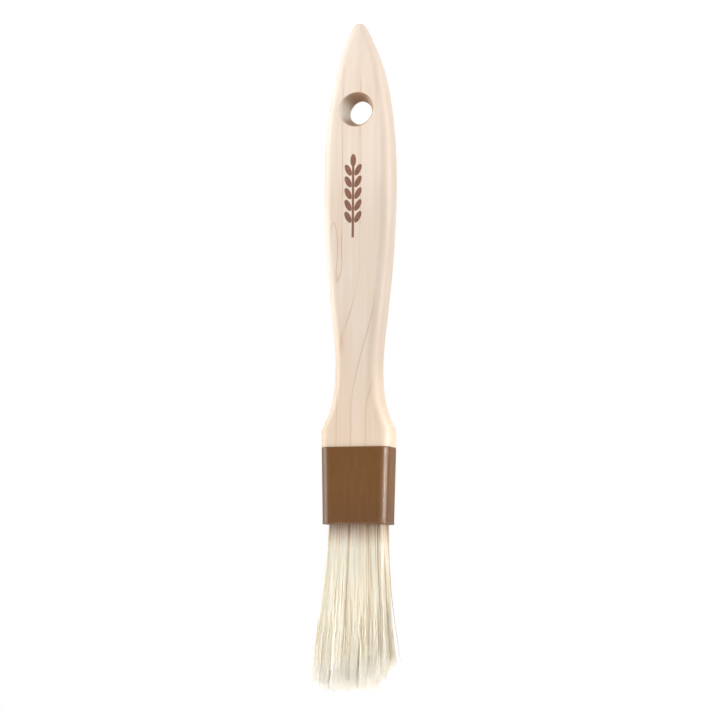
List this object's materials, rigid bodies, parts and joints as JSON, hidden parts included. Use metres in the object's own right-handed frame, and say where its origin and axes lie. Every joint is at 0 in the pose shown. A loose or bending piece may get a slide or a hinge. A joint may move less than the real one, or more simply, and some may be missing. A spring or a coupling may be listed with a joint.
{
  "type": "pastry brush",
  "caption": "Flat pastry brush with a waisted maple handle, a round hang hole near its tip, a moulded brown ferrule and pale natural bristles that bend at the ferrule.",
  "frame": {"origin": "centre of the hang hole, midway through the handle's thickness", "axes": "+Z towards the handle's tip, X across the width, Y through the thickness with the front face at -Y"},
  "size_m": [0.0274, 0.0138, 0.2292],
  "materials": {
    "maple": "pale maple, clear satin lacquer",
    "ferrule_plastic": "moulded brown plastic, satin gloss",
    "resin": "cured setting resin",
    "filler_wood": "plain sawn softwood",
    "bristle": "natural white bristle, loosely packed"
  },
  "bodies": {
    "brush_body": {"handle": "maple", "ferrule": "ferrule_plastic", "resin_block": "resin", "filler_strip": "filler_wood", "bristle_roots_front": "bristle", "bristle_roots_back": "bristle"},
    "bristles": {"bristle_lock_front_1": "bristle", "bristle_lock_front_2": "bristle", "bristle_lock_front_3": "bristle", "bristle_lock_front_4": "bristle", "bristle_lock_front_5": "bristle", "bristle_lock_back_1": "bristle", "bristle_lock_back_2": "bristle", "bristle_lock_back_3": "bristle", "bristle_lock_back_4": "bristle", "bristle_lock_back_5": "bristle"}
  },
  "joints": [
    {"name": "bristle_bend", "type": "hinge", "parent": "brush_body", "child": "bristles", "pos_m": [0, 0, -0.1424], "axis": [1, 0, 0], "range_deg": [-30, 30], "stiffness_Nm_per_rad": 0.1}
  ]
}
